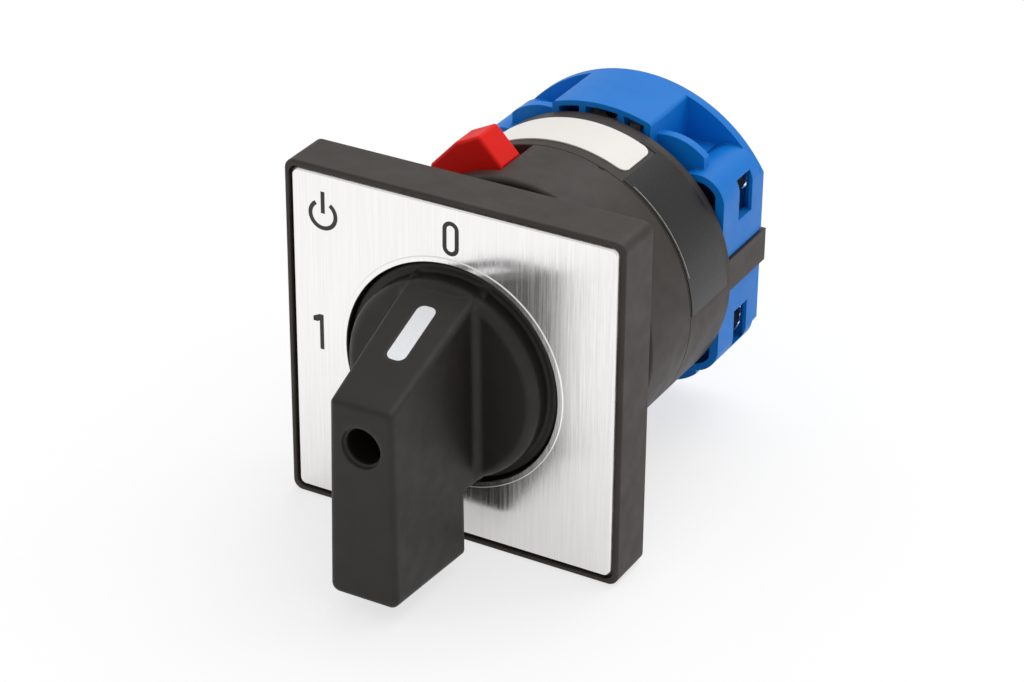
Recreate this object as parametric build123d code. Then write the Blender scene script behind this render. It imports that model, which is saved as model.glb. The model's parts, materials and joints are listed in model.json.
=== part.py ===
from build123d import *
import math
import os

os.makedirs("parts", exist_ok=True)

# Rotary cam switch, millimetres.
# Origin: centre of the front plate's rear face, on the switch axis.
# X right seen from the front, Y back through the panel, Z up.
# Angles count from +X toward +Z, as seen from the front.

# Front plate and legend
PLATE_SIZE = 48.0
PLATE_DEPTH = 7.0
PLATE_CORNER_R = 1.4
PLATE_EDGE_R = 0.35
PLATE_RIM = 0.65
PLATE_WALL = 1.9
PLATE_SKIN = 1.75
RIB_WIDTH = 1.2
RIB_SETBACK = 0.6
LEGEND_THICKNESS = 1.0
LEGEND_CORNER_R = 1.2
LEGEND_GAP = 0.15
LEGEND_SINK = 0.05
LEGEND_BEVEL = 0.45
LEGEND_RING_WIDTH = 0.8
LEGEND_RING_HEIGHT = 0.14
LEGEND_RING_BEVEL = 0.1
WELL_R = 15.15
WELL_WALL = 1.75
WELL_DEPTH = 3.9

# Knob
DISC_GAP = 0.35
DISC_SINK = 0.5
DISC_THICKNESS = 1.9
DISC_EDGE_R = 0.3
CAP_STEP = 1.2
CAP_HEIGHT = 3.4
CAP_SINK = 0.5
CAP_EDGE_R = 1.3
GRIP_FRONT = 28.3
GRIP_FRONT_TOP = 5.6
GRIP_TOP_INSET = 1.0
GRIP_BOTTOM = 21.7
GRIP_BOTTOM_REAR = 22.15
GRIP_REAR = 12.9
GRIP_HALF_TOP = 4.35
GRIP_HALF_BOTTOM = 4.8
GRIP_HALF_REAR = 5.05
GRIP_BOTTOM_R = 1.2
GRIP_EDGE_R = 0.7
GRIP_FOOT_R = 1.1
POINTER_LENGTH = 9.1
POINTER_WIDTH = 2.6
POINTER_CORNER_R = 1.0
POINTER_CENTRE = 16.35
POINTER_DEPTH = 0.3
SCREW_HOLE_R = 2.77
SCREW_HOLE_STEP = 0.32
SCREW_HOLE_STEP_DEPTH = 0.6
SCREW_HOLE_FLOOR = 17.6
SCREW_WEB = 1.6
HUB_R = 7.0
HUB_REACH = 6.0
HUB_END_GAP = 0.3

# Knob screw
KNOB_SCREW_HEAD_R = 2.3
KNOB_SCREW_HEAD = 1.8
KNOB_SCREW_R = 1.6
KNOB_SCREW_REACH = 6.5
RECESS_WIDTH = 0.7
RECESS_DEPTH = 0.9

# Mounting collar, nut, gasket and seal
COLLAR_R = 11.1
FLANGE_GAP = 0.95
COLLAR_FLANGE = 1.2
COLLAR_WALL = 2.5
LUG_HEIGHT = 1.2
LUG_LENGTH = 1.2
LUG_SPAN = 24.0
LUG_SLOT_GAP = 0.3
GASKET_LAP = 0.35
GASKET_THICKNESS = 0.7
SEAL_R = 0.8
SEAL_DEPTH = 2.0
NUT_LAP = 0.1
NUT_LENGTH = 3.3
NUT_PANEL = 5.0
NUT_NOTCHES = 6
NUT_NOTCH_WIDTH = 2.4
NUT_NOTCH_DEPTH = 0.9

# Front body
NUT_GAP = 0.4
SEAM_GAP = 1.3
BODY_WALL = 1.8
BODY_FRONT_WALL = 2.3
BODY_EDGE_R = 0.7
SEAM_BEVEL = 0.12
WINDOW_START = 99.2
WINDOW_END = 160.0
BOSS_R = 1.7
BOSS_GAP = 0.4
BOSS_SETBACK = 4.7
BOSS_ANGLE = 50.0
BOSS_RIB = 1.2

# Lock ring with lever
LOCK_RIM = 0.6
LOCK_BORE_GAP = 0.08
LOCK_FACE_GAP = 0.3
LOCK_LENGTH = 5.7
LEVER_SETBACK = 0.7
LEVER_START = 100.5
LEVER_END = 131.0
LEVER_TOP = 4.2
LEVER_TOP_ANGLE = 107.0
LEVER_MIDDLE = 3.85
LEVER_MIDDLE_ANGLE = 116.3
LEVER_LOW = 2.5
LEVER_LOW_ANGLE = 129.0
LEVER_FOOT = 1.8
LEVER_ROOT = 0.6
LEVER_EDGE_R = 0.5
LOCK_SWING = 26.0
LUG_CLEAR = 3.0

# Mechanism
MECH_FRONT_WALL = 1.8
MECH_WALL = 2.8
MECH_REAR_WALL = 1.7
MECH_PLATE = 2.0
MECH_PLATE_GAP = 0.1
HUB_BEARING_R = 5.6
BEARING_GAP = 0.05
SHAFT_SIZE = 6.0
SHAFT_CHAMFER = 0.3
SHAFT_GAP = 0.3
SOCKET_GAP = 0.02
SHAFT_END_R = 2.9
SHAFT_END = 1.9
SHAFT_END_GAP = 0.5
STOP_LUG_RISE = 2.8
WHEEL_END_GAP = 0.3
WHEEL_LENGTH = 6.2
WHEEL_START = 0.8
WHEEL_HUB = 0.5
NOTCH_DEPTH = 1.15
NOTCH_HALF = 1.45
STOP_LUG_GAP = 1.2
STOP_LUG_START = 210.0
STOP_LUG_END = 240.0
STOP_WIDTH = 9.3
STOP_CLEAR = 1.7
STOP_GAP = 0.4
STOP_ROOT = 0.5
TURN = 90.0
LEAF_THICKNESS = 0.4
LEAF_WIDTH = 5.0
LEAF_STANDOFF = 3.6
LEAF_END_GAP = 0.78
LEAF_END = 0.5
LEAF_NOSE_HALF = 4.0
LEAF_NOSE_GAP = 0.35
LEAF_BEND_R = 0.6
POST_HALF = 1.4
RETAINER_THICKNESS = 0.7
RETAINER_R = 5.4
RETAINER_GROOVE_R = 2.6

# Labels
WHITE_LABEL_START = 63.2
WHITE_LABEL_END = 150.0
WHITE_LABEL_FRONT = 1.8
WHITE_LABEL_WIDTH = 7.4
WHITE_LABEL_THICKNESS = 0.15
LABEL_CORNER_R = 1.3
DARK_LABEL_START = 2.0
DARK_LABEL_END = 69.0
DARK_LABEL_FRONT = 0.35
DARK_LABEL_WIDTH = 10.05
DARK_LABEL_THICKNESS = 0.1
LABEL_GAP = 0.6

# Snap straps
STRAP_HALF = 2.35
STRAP_SETBACK = 1.3
STRAP_FOOT = 0.9
STRAP_THICKNESS = 1.35
STRAP_BEYOND = 0.7
HOOK_IN = 0.75
STRAP_GAP = 0.15

# Contact housing
DECK_PROUD = 1.3
STRAP_PROUD = 0.4
DECK_START = 0.7
DECK_FLOOR = 1.4
DECK_WALL = 1.3
TOWER_R = 4.0
TOWER_SETBACK = 2.0
TOWER_FRONT = 1.3
TOWER_SHELF = 4.9
TOWER_RIM = 1.0
TOWER_HOLE_R = 1.9
TOWER_HOLE_RAISE = 0.3
CAVITY_HALF = 2.65
CAVITY_SHELF = 1.1
SIDE_WINDOW_BELOW = 3.75
SIDE_WINDOW_ABOVE = 2.05
SIDE_WINDOW_SKIN = 0.55
SIDE_WINDOW_POCKET = 0.8
SIDE_WINDOW_START = 4.6
SIDE_WINDOW_LENGTH = 4.0
HOOD_SHELL = 0.75
HOOD_HALF = 7.3
HOOD_WALL = 1.0
HOOD_TAB_IN = 2.4
HOOD_TAB_OUT = 3.3
HOOD_TAB_DEPTH = 2.0
HOOD_TAB_HEIGHT = 3.8
HOOD_EDGE_R = 0.6
LIP_ASIDE = 5.35
LIP_BELOW = 0.1
LIP_R = 7.8
LIP_SETBACK = 1.8
LIP_DEPTH = 1.3
CHAMBER_WALL = 1.1
CHAMBER_GAP = 0.5
CHAMBER_TOP = 1.0
GUIDE_WALL = 1.2
GUIDE_GAP = 0.3
GUIDE_SETBACK = 2.8
GUIDE_DROP = 0.2
RAIL_IN = 2.0
RAIL_OUT = 3.4
SEAT_HALF = 2.2
SEAT_DEPTH = 0.45

# Cam, carriers, bridges, springs and fixed contacts
CAM_FRONT = 3.1
CAM_END_GAP = 2.3
CAM_LENGTH = 5.0
CAM_LOW = 5.6
CAM_LIFT = 2.2
CAM_DWELL = 10.0
CAM_REST = 8.0
CAM_BOSS_R = 5.0
NOSE_R = 0.8
NOSE_GAP = 0.35
CARRIER_HALF = 4.0
CARRIER_DEPTH = 5.2
CARRIER_SHIFT = 0.2
CARRIER_SHOULDER = 1.05
CARRIER_HEAD_GAP = 2.4
NOSE_DEPTH = 3.6
BRIDGE_END_GAP = 0.4
BRIDGE_THICKNESS = 0.8
BRIDGE_WIDTH = 2.6
BRIDGE_LIFT = 3.45
BRIDGE_SLOT = 3.0
BRIDGE_SLOT_GAP = 0.1
TIP_INSET = 1.2
TIP_HALF = 0.9
TIP_HEIGHT = 0.7
SPRING_R = 1.6
SPRING_WIRE_R = 0.25
SPRING_TURNS = 5.5
SPRING_POCKET_GAP = 0.25
CONTACT_THICKNESS = 0.8
CONTACT_CLOSED_GAP = 0.3
FIXED_TIP = 0.4
ARM_WIDTH = 4.2
ARM_TO_SCREW = 2.5
ARM_BEYOND = 1.4
TERMINAL_THICKNESS = 1.0
TERMINAL_GAP = 0.05
TERMINAL_FRONT_GAP = 0.1
ARM_SLOT_GAP = 0.15
WASHER_THICKNESS = 0.8
WASHER_R = 2.5
WASHER_HOLE_GAP = 0.1
TERMINAL_HEAD_R = 2.3
TERMINAL_HEAD = 1.7
TERMINAL_SCREW_R = 1.6
TERMINAL_SLOT = 0.8
TERMINAL_CLEAR = 1.3

# Body screws
BODY_SCREW_R = 1.1
BODY_SCREW_HEAD_R = 1.8
BODY_SCREW_HEAD = 1.2
BODY_SCREW_REACH = 7.0

# Stations along the axis, all from the panel plane
PLATE_FRONT_Y = -PLATE_DEPTH
LEGEND_FRONT_Y = PLATE_FRONT_Y + LEGEND_SINK
LEGEND_REAR_Y = LEGEND_FRONT_Y + LEGEND_THICKNESS
WELL_FLOOR_Y = PLATE_FRONT_Y + WELL_DEPTH
DISC_FRONT_Y = PLATE_FRONT_Y + DISC_SINK
DISC_REAR_Y = DISC_FRONT_Y + DISC_THICKNESS
CAP_FRONT_Y = DISC_FRONT_Y - CAP_HEIGHT
GRIP_FRONT_Y = -GRIP_FRONT
COLLAR_FRONT_Y = WELL_FLOOR_Y - COLLAR_FLANGE
BODY_START = NUT_PANEL + NUT_LENGTH + NUT_GAP
BODY_INSIDE_Y = BODY_START + BODY_FRONT_WALL
LOCK_Y = BODY_INSIDE_Y + LOCK_FACE_GAP
LOCK_END_Y = LOCK_Y + LOCK_LENGTH
LUG_Y = LOCK_END_Y + LOCK_FACE_GAP
COLLAR_REACH = LUG_Y + LUG_LENGTH
SEAM_Y = COLLAR_REACH + SEAM_GAP
MECH_INSIDE_Y = SEAM_Y + MECH_FRONT_WALL
WHEEL_Y = MECH_INSIDE_Y + WHEEL_START
WHEEL_END_Y = WHEEL_Y + WHEEL_LENGTH
MECH_PLATE_Y = WHEEL_END_Y + WHEEL_HUB + WHEEL_END_GAP
PLATE_BACK_Y = MECH_PLATE_Y + MECH_PLATE
MECH_END_Y = PLATE_BACK_Y + MECH_PLATE_GAP
DECK_Y = MECH_END_Y + DECK_START
RETAINER_Y = PLATE_BACK_Y + LOCK_FACE_GAP
CAM_Y = RETAINER_Y + RETAINER_THICKNESS + CAM_FRONT
CAM_END_Y = CAM_Y + CAM_LENGTH
DECK_FLOOR_Y = CAM_END_Y + CAM_END_GAP
DECK_END_Y = DECK_FLOOR_Y + DECK_FLOOR
CARRIER_Y = CAM_Y + CAM_LENGTH / 2 - CARRIER_DEPTH / 2 + CARRIER_SHIFT
CARRIER_END_Y = CARRIER_Y + CARRIER_DEPTH
CONTACT_Y = CARRIER_Y + CARRIER_DEPTH / 2
CAP_REAR_Y = DISC_FRONT_Y + CAP_SINK
SHAFT_FRONT_Y = -SCREW_HOLE_FLOOR + SCREW_WEB
SHAFT_END_Y = DECK_FLOOR_Y - SHAFT_END_GAP

# Places derived from the sizes
LEGEND_SIZE = PLATE_SIZE - 2 * PLATE_RIM - 2 * LEGEND_GAP
POCKET_SIZE = PLATE_SIZE - 2 * PLATE_RIM
DISC_R = WELL_R - DISC_GAP
CAP_R = DISC_R - CAP_STEP
GRIP_CAP_TOP = CAP_R - GRIP_TOP_INSET
COLLAR_FLANGE_R = WELL_R - FLANGE_GAP
GASKET_R = WELL_R + GASKET_LAP
NUT_R = COLLAR_FLANGE_R + NUT_LAP
LUG_SLOT_R = COLLAR_R + LUG_HEIGHT + LUG_SLOT_GAP
LOCK_R = LUG_SLOT_R + LOCK_RIM
BOSS_PLACE = LOCK_R + BOSS_GAP + BOSS_R
BODY_R = BOSS_PLACE + BOSS_SETBACK
STOP_LUG_R = BOSS_PLACE - BODY_SCREW_HEAD_R - STOP_LUG_GAP
WHEEL_R = STOP_LUG_R - STOP_LUG_RISE
LEAF_PLACE = WHEEL_R + LEAF_STANDOFF
LEAF_HALF = math.sqrt((BODY_R - MECH_WALL - LEAF_END_GAP) ** 2 - LEAF_PLACE**2)
STRAP_OUT = BODY_R - STRAP_SETBACK
DECK_HALF = STRAP_OUT - STRAP_PROUD
DECK_R = BODY_R + DECK_PROUD
TOWER_X = DECK_HALF - DECK_WALL - CAVITY_HALF
LIP_X = TOWER_X - LIP_ASIDE
CHAMBER_X = TOWER_X - CAVITY_HALF - CHAMBER_WALL
SPRING_TOP = DECK_R - HOOD_SHELL - SEAT_DEPTH
SOCKET_SIZE = SHAFT_SIZE + 2 * SOCKET_GAP
SHAFT_CLEAR_R = SHAFT_SIZE * math.sqrt(2) / 2 + SHAFT_GAP
HUB_BORE_R = HUB_R + BEARING_GAP
CAM_TOP = CAM_LOW + CAM_LIFT
CAM_FALL = 180 - TURN - CAM_DWELL - CAM_REST
NOSE_TIP = CAM_TOP + NOSE_GAP
CARRIER_LOW = NOSE_TIP + CARRIER_SHOULDER
CARRIER_TOP = SPRING_TOP - CARRIER_HEAD_GAP
GUIDE_TOP = CARRIER_TOP - GUIDE_DROP
BRIDGE_Z = NOSE_TIP + BRIDGE_LIFT
BRIDGE_TOP = BRIDGE_Z + BRIDGE_THICKNESS
BRIDGE_HALF = CHAMBER_X - BRIDGE_END_GAP
TIP_PLACE = BRIDGE_HALF - TIP_INSET
ARM_IN = TIP_PLACE - ARM_BEYOND
CHAMBER_Z = BRIDGE_TOP + CHAMBER_GAP
ARM_TOP = BRIDGE_Z - TIP_HEIGHT - CAM_LIFT - CONTACT_CLOSED_GAP - FIXED_TIP
ARM_LOW = ARM_TOP - CONTACT_THICKNESS
TOWER_Z = ARM_TOP + ARM_TO_SCREW
LIP_Z = TOWER_Z - LIP_BELOW
TERMINAL_Y = DECK_Y + TOWER_SETBACK + TOWER_FRONT + TERMINAL_FRONT_GAP
WASHER_END_Y = DECK_FLOOR_Y - TERMINAL_CLEAR
SIDE_WINDOW_Y = DECK_Y + SIDE_WINDOW_START
STRAP_IN = STRAP_OUT - STRAP_THICKNESS
STRAP_END_Y = DECK_END_Y + STRAP_BEYOND
QUADRANTS = ((1, 1), (-1, 1), (-1, -1), (1, -1))


def front_view(y):
    """Sketch plane at a station, seen from the front: local x is X, local y is Z."""
    return Plane(origin=(0, y, 0), x_dir=(1, 0, 0), z_dir=(0, -1, 0))


def slab(profile, start, end):
    """Front-view profile as a solid between two stations."""
    return extrude(front_view(start) * profile, amount=end - start, dir=(0, 1, 0))


def disc(radius, start, end, x=0.0, z=0.0):
    """Cylinder along Y."""
    return slab(Pos(x, z) * Circle(radius), start, end)


def bar(x0, x1, y0, y1, z0, z1):
    """Box between two corners."""
    box = Box(abs(x1 - x0), abs(y1 - y0), abs(z1 - z0))
    return Pos((x0 + x1) / 2, (y0 + y1) / 2, (z0 + z1) / 2) * box


def polar(radius, angle):
    """Point of the front view."""
    return (radius * math.cos(math.radians(angle)), radius * math.sin(math.radians(angle)))


def sector(inner, outer, start, end):
    """Face between two radii and two angles."""
    far = CenterArc((0, 0), outer, start, end - start)
    near = CenterArc((0, 0), inner, start, end - start)
    return make_face([far, Line(far @ 1, near @ 1), near, Line(near @ 0, far @ 0)])


def polygon(points):
    """Face inside a closed line."""
    return make_face(Polyline(*points, close=True))


def mirrored(shape):
    """The same shape below the axis."""
    return mirror(shape, about=Plane.XY)


def quadrant(shape, side, level):
    """Shape of the upper right quadrant moved to another one."""
    if side < 0:
        shape = mirror(shape, about=Plane.YZ)
    if level < 0:
        shape = mirrored(shape)
    return shape


def one(shape):
    """The single solid of a result."""
    return shape.solids().sort_by(SortBy.VOLUME)[-1]


def front_frame():
    """Black square plate with legend pocket, knob well and ribbed back."""
    block = slab(RectangleRounded(PLATE_SIZE, PLATE_SIZE, PLATE_CORNER_R), PLATE_FRONT_Y, 0)
    block = fillet(block.faces().sort_by(Axis.Y)[0].edges(), PLATE_EDGE_R)
    pocket_r = LEGEND_CORNER_R + LEGEND_GAP
    block -= slab(RectangleRounded(POCKET_SIZE, POCKET_SIZE, pocket_r), PLATE_FRONT_Y, LEGEND_REAR_Y)
    block -= disc(WELL_R, PLATE_FRONT_Y, WELL_FLOOR_Y)
    block -= disc(COLLAR_R, WELL_FLOOR_Y, 0)
    block -= disc(GASKET_R, -GASKET_THICKNESS, 0)
    inside = PLATE_SIZE - 2 * PLATE_WALL
    hollow = slab(RectangleRounded(inside, inside, PLATE_CORNER_R), LEGEND_REAR_Y + PLATE_SKIN, 0)
    hollow -= disc(WELL_R + WELL_WALL, LEGEND_REAR_Y + PLATE_SKIN, 0)
    for angle in (0, 45, 90, 135):
        rib = Rot(0, 0, angle) * Rectangle(2 * PLATE_SIZE, RIB_WIDTH)
        hollow -= slab(rib, LEGEND_REAR_Y + PLATE_SKIN, -RIB_SETBACK)
    return block - hollow


def legend_plate():
    """Silver square with a bevelled edge and a raised ring round the hole."""
    sheet = slab(RectangleRounded(LEGEND_SIZE, LEGEND_SIZE, LEGEND_CORNER_R), LEGEND_FRONT_Y, LEGEND_REAR_Y)
    sheet = chamfer(sheet.faces().sort_by(Axis.Y)[0].edges(), LEGEND_BEVEL)
    front = LEGEND_FRONT_Y - LEGEND_RING_HEIGHT
    ring = slab(Circle(WELL_R + LEGEND_RING_WIDTH) - Circle(WELL_R), front, LEGEND_REAR_Y)
    ring = chamfer(ring.faces().sort_by(Axis.Y)[0].edges(), LEGEND_RING_BEVEL)
    return sheet - disc(WELL_R, LEGEND_FRONT_Y, LEGEND_REAR_Y) + ring


def grip_side(y, z):
    """Half width of the grip at a place of its side plane."""
    per_z = (GRIP_HALF_TOP - GRIP_HALF_BOTTOM) / (GRIP_FRONT_TOP + GRIP_BOTTOM)
    front = GRIP_HALF_TOP + per_z * (z - GRIP_FRONT_TOP)
    axis_front = GRIP_HALF_TOP - per_z * GRIP_FRONT_TOP
    per_y = (GRIP_HALF_REAR - axis_front) / (GRIP_FRONT - GRIP_REAR)
    return front + per_y * (y + GRIP_FRONT)


def grip_section(y):
    """Tapered cross-section of the grip's two sides."""
    low = -GRIP_BOTTOM_REAR - 2
    high = GRIP_CAP_TOP + 2
    wide_low = grip_side(y, low)
    wide_high = grip_side(y, high)
    points = ((-wide_low, low), (wide_low, low), (wide_high, high), (-wide_high, high))
    return front_view(y) * polygon(points)


def grip_sides():
    """The grip's two tapered sides, carried on beyond its ends."""
    return loft([grip_section(GRIP_FRONT_Y - 1), grip_section(CAP_REAR_Y)], ruled=True)


def grip_envelope(drop):
    """Side view of the grip as a solid, its slope carried on to the cap's rim."""
    rise = (GRIP_CAP_TOP - GRIP_FRONT_TOP) / (CAP_FRONT_Y + GRIP_FRONT)
    outline = (
        (GRIP_FRONT_Y, GRIP_FRONT_TOP - drop),
        (CAP_REAR_Y, GRIP_CAP_TOP - drop + rise * (CAP_REAR_Y - CAP_FRONT_Y)),
        (CAP_REAR_Y, -GRIP_CAP_TOP),
        (-GRIP_REAR, -GRIP_CAP_TOP),
        (-GRIP_REAR, -GRIP_BOTTOM_REAR),
        (GRIP_FRONT_Y, -GRIP_BOTTOM),
    )
    side = Plane(origin=(-CAP_R, 0, 0), x_dir=(0, 1, 0), z_dir=(1, 0, 0)) * polygon(outline)
    return extrude(side, amount=2 * CAP_R)


def grip():
    """Bar of the knob with rounded edges, ending on the cap's rim."""
    body = grip_sides() & grip_envelope(0)
    low_edges = body.edges().filter_by(lambda e: e.center().Z < -GRIP_BOTTOM + 1)
    body = fillet(low_edges.filter_by(lambda e: abs(e.center().X) > GRIP_HALF_TOP / 2), GRIP_BOTTOM_R)
    slope = body.faces().sort_by(Axis.Z)[-1]
    sides = slope.edges().filter_by(lambda e: e.length > POINTER_LENGTH)
    body = fillet(body.faces().sort_by(Axis.Y)[0].edges() + sides, GRIP_EDGE_R)
    front = bar(-CAP_R, CAP_R, GRIP_FRONT_Y, -GRIP_REAR, -2 * CAP_R, CAP_R)
    return one(body & (front + disc(CAP_R, -GRIP_REAR, CAP_REAR_Y)))


def cap():
    """Round cap with the hollow fillets at the grip's foot."""
    plain = disc(CAP_R, CAP_FRONT_Y, CAP_REAR_Y)
    plain = fillet(plain.faces().sort_by(Axis.Y)[0].edges(), CAP_EDGE_R)
    body = plain + grip_sides()
    foot = body.edges().filter_by(lambda e: CAP_FRONT_Y - 0.01 < e.center().Y < CAP_REAR_Y - 0.01)
    foot = foot.filter_by(lambda e: abs(abs(e.center().X) - GRIP_HALF_REAR) < GRIP_HALF_REAR / 8)
    near = bar(-CAP_R, CAP_R, CAP_FRONT_Y - GRIP_FOOT_R, CAP_REAR_Y, -CAP_R, CAP_R)
    return plain + (fillet(foot, GRIP_FOOT_R) & grip_envelope(GRIP_EDGE_R) & near)


def slope_plane():
    """Plane of the grip's slope at the middle of the pointer."""
    run = CAP_FRONT_Y - GRIP_FRONT_Y
    rise = GRIP_CAP_TOP - GRIP_FRONT_TOP
    size = math.hypot(run, rise)
    z = GRIP_FRONT_TOP + (GRIP_FRONT - POINTER_CENTRE) * rise / run
    return Plane(origin=(0, -POINTER_CENTRE, z), x_dir=(1, 0, 0), z_dir=(0, -rise / size, run / size))


def pointer_inlay():
    """White bar let into the slope."""
    shape = RectangleRounded(POINTER_WIDTH, POINTER_LENGTH, POINTER_CORNER_R)
    return extrude(slope_plane() * shape, amount=-POINTER_DEPTH)


def square_shaft(size, start, end):
    """Square bar along Y with chamfered corners."""
    profile = chamfer(Rectangle(size, size).vertices(), SHAFT_CHAMFER)
    return slab(profile, start, end)


def knob():
    """Disc, cap, grip and hub in one moulding."""
    base = disc(DISC_R, DISC_FRONT_Y, DISC_REAR_Y)
    base = fillet(base.faces().sort_by(Axis.Y)[0].edges(), DISC_EDGE_R)
    body = base + cap() + grip() + disc(HUB_R, DISC_REAR_Y, HUB_REACH)
    body -= disc(SCREW_HOLE_R, GRIP_FRONT_Y, GRIP_FRONT_Y + SCREW_HOLE_STEP_DEPTH)
    body -= disc(SCREW_HOLE_R - SCREW_HOLE_STEP, GRIP_FRONT_Y, -SCREW_HOLE_FLOOR)
    body -= disc(KNOB_SCREW_R, -SCREW_HOLE_FLOOR, SHAFT_FRONT_Y)
    body -= square_shaft(SOCKET_SIZE, SHAFT_FRONT_Y, HUB_REACH)
    return one(body - pointer_inlay())


def knob_screw():
    """Pan head screw with a cross recess."""
    top = -SCREW_HOLE_FLOOR - KNOB_SCREW_HEAD
    head = disc(KNOB_SCREW_HEAD_R, top, -SCREW_HOLE_FLOOR)
    head = fillet(head.faces().sort_by(Axis.Y)[0].edges(), KNOB_SCREW_HEAD / 3)
    long = KNOB_SCREW_HEAD_R * 0.6
    for x, z in ((long, RECESS_WIDTH / 2), (RECESS_WIDTH / 2, long)):
        head -= bar(-x, x, top, top + RECESS_DEPTH, -z, z)
    return head + disc(KNOB_SCREW_R, -SCREW_HOLE_FLOOR, SHAFT_FRONT_Y + KNOB_SCREW_REACH)


def mounting_collar():
    """Flanged sleeve through the panel hole with two bayonet lugs."""
    body = disc(COLLAR_FLANGE_R, COLLAR_FRONT_Y, WELL_FLOOR_Y) + disc(COLLAR_R, WELL_FLOOR_Y, COLLAR_REACH)
    for angle in (90, 270):
        lug = sector(COLLAR_R - 1, COLLAR_R + LUG_HEIGHT, angle - LUG_SPAN / 2, angle + LUG_SPAN / 2)
        body += slab(lug, LUG_Y, COLLAR_REACH)
    bearing_end = HUB_REACH + HUB_END_GAP
    body -= disc(HUB_BORE_R, COLLAR_FRONT_Y, bearing_end)
    body -= disc(COLLAR_R - COLLAR_WALL, bearing_end, COLLAR_REACH)
    groove = COLLAR_FRONT_Y + SEAL_DEPTH
    return body - disc(HUB_BORE_R + 2 * SEAL_R, groove - SEAL_R, groove + SEAL_R)


def shaft_seal():
    """O-ring in the collar's groove."""
    y = COLLAR_FRONT_Y + SEAL_DEPTH
    return Pos(0, y, 0) * Rot(90, 0, 0) * Torus(HUB_BORE_R + SEAL_R, SEAL_R)


def panel_gasket():
    """Flat rubber ring between plate and panel."""
    return slab(Circle(GASKET_R) - Circle(COLLAR_R), -GASKET_THICKNESS, 0)


def ring_nut():
    """Round nut with grip notches."""
    body = slab(Circle(NUT_R) - Circle(COLLAR_R), NUT_PANEL, NUT_PANEL + NUT_LENGTH)
    for step in range(NUT_NOTCHES):
        x, z = polar(NUT_R, step * 360 / NUT_NOTCHES)
        notch = Rot(0, 0, step * 360 / NUT_NOTCHES) * Rectangle(2 * NUT_NOTCH_DEPTH, NUT_NOTCH_WIDTH)
        body -= slab(Pos(x, z) * notch, NUT_PANEL, NUT_PANEL + NUT_LENGTH)
    return body


def body_screw_places():
    """The two screw places between the housings."""
    return [polar(BOSS_PLACE, BOSS_ANGLE + turn) for turn in (0, 180)]


def front_body():
    """Round housing with the lever window, bayonet slots and screw bosses."""
    shell = disc(BODY_R, BODY_START, SEAM_Y)
    shell = fillet(shell.faces().sort_by(Axis.Y)[0].edges(), BODY_EDGE_R)
    shell = chamfer(shell.faces().sort_by(Axis.Y)[-1].edges(), SEAM_BEVEL)
    shell -= disc(BODY_R - BODY_WALL, BODY_INSIDE_Y, SEAM_Y)
    shell -= disc(COLLAR_R + LOCK_BORE_GAP, BODY_START, BODY_INSIDE_Y)
    reach = LUG_SPAN / 2 + LUG_CLEAR
    for angle in (90, 270):
        slot = sector(COLLAR_R - 1, LUG_SLOT_R, angle - reach, angle + reach)
        shell -= slab(slot, BODY_START, BODY_INSIDE_Y)
    window = sector(BODY_R - 2 * BODY_WALL, BODY_R + 1, WINDOW_START, WINDOW_END)
    shell -= slab(window, BODY_INSIDE_Y, SEAM_Y)
    for turn, place in zip((0, 180), body_screw_places()):
        long = BODY_R - BODY_WALL / 2 - BOSS_PLACE
        rib = Rot(0, 0, BOSS_ANGLE + turn) * Pos(BOSS_PLACE + long / 2, 0) * Rectangle(long, BOSS_RIB)
        boss = Pos(*place) * Circle(BOSS_R) + rib
        shell += slab(boss, BODY_INSIDE_Y, SEAM_Y)
        shell -= disc(BODY_SCREW_R, MECH_INSIDE_Y - BODY_SCREW_REACH, SEAM_Y, *place)
    return one(shell)


def lock_ring():
    """Red ring with the lever, turned to free the bayonet lugs."""
    body = slab(Circle(LOCK_R) - Circle(COLLAR_R + LOCK_BORE_GAP), LOCK_Y, LOCK_END_Y)
    reach = LUG_SPAN / 2 + LUG_CLEAR / 2
    for angle in (90, 270):
        middle = angle - LOCK_SWING
        notch = sector(COLLAR_R - 1, LUG_SLOT_R, middle - reach, middle + reach)
        body -= slab(notch, LOCK_Y, LOCK_END_Y)
    inner = LOCK_R - LEVER_ROOT
    outline = (
        polar(inner, LEVER_START + 1),
        polar(BODY_R, LEVER_START),
        polar(BODY_R + LEVER_TOP, LEVER_TOP_ANGLE),
        polar(BODY_R + LEVER_MIDDLE, LEVER_MIDDLE_ANGLE),
        polar(BODY_R + LEVER_LOW, LEVER_LOW_ANGLE),
        polar(BODY_R + LEVER_FOOT, LEVER_END),
        polar(inner, LEVER_END),
    )
    tab = slab(polygon(outline), LOCK_Y + LEVER_SETBACK, LOCK_END_Y)
    rounded = BODY_R + LEVER_FOOT - LEVER_EDGE_R
    outer = tab.edges().filter_by(lambda e: math.hypot(e.center().X, e.center().Z) > rounded)
    tab = fillet(outer, LEVER_EDGE_R)
    return one(body + tab)


def stop_faces():
    """Angles of the two housing stops."""
    low = STOP_LUG_START - STOP_CLEAR
    high = STOP_LUG_END + TURN + STOP_CLEAR
    return ((low - STOP_WIDTH, low), (high, high + STOP_WIDTH))


def leaf_post(side, level):
    """Post of the mechanism housing that backs one end of a leaf spring."""
    inner = LEAF_PLACE + LEAF_THICKNESS / 2
    high = LEAF_HALF + LEAF_END
    post = bar(inner, BODY_R, MECH_INSIDE_Y, WHEEL_END_Y, high - 2 * POST_HALF, high)
    post &= disc(BODY_R - MECH_WALL / 2, MECH_INSIDE_Y, WHEEL_END_Y)
    return quadrant(post, side, level)


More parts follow.
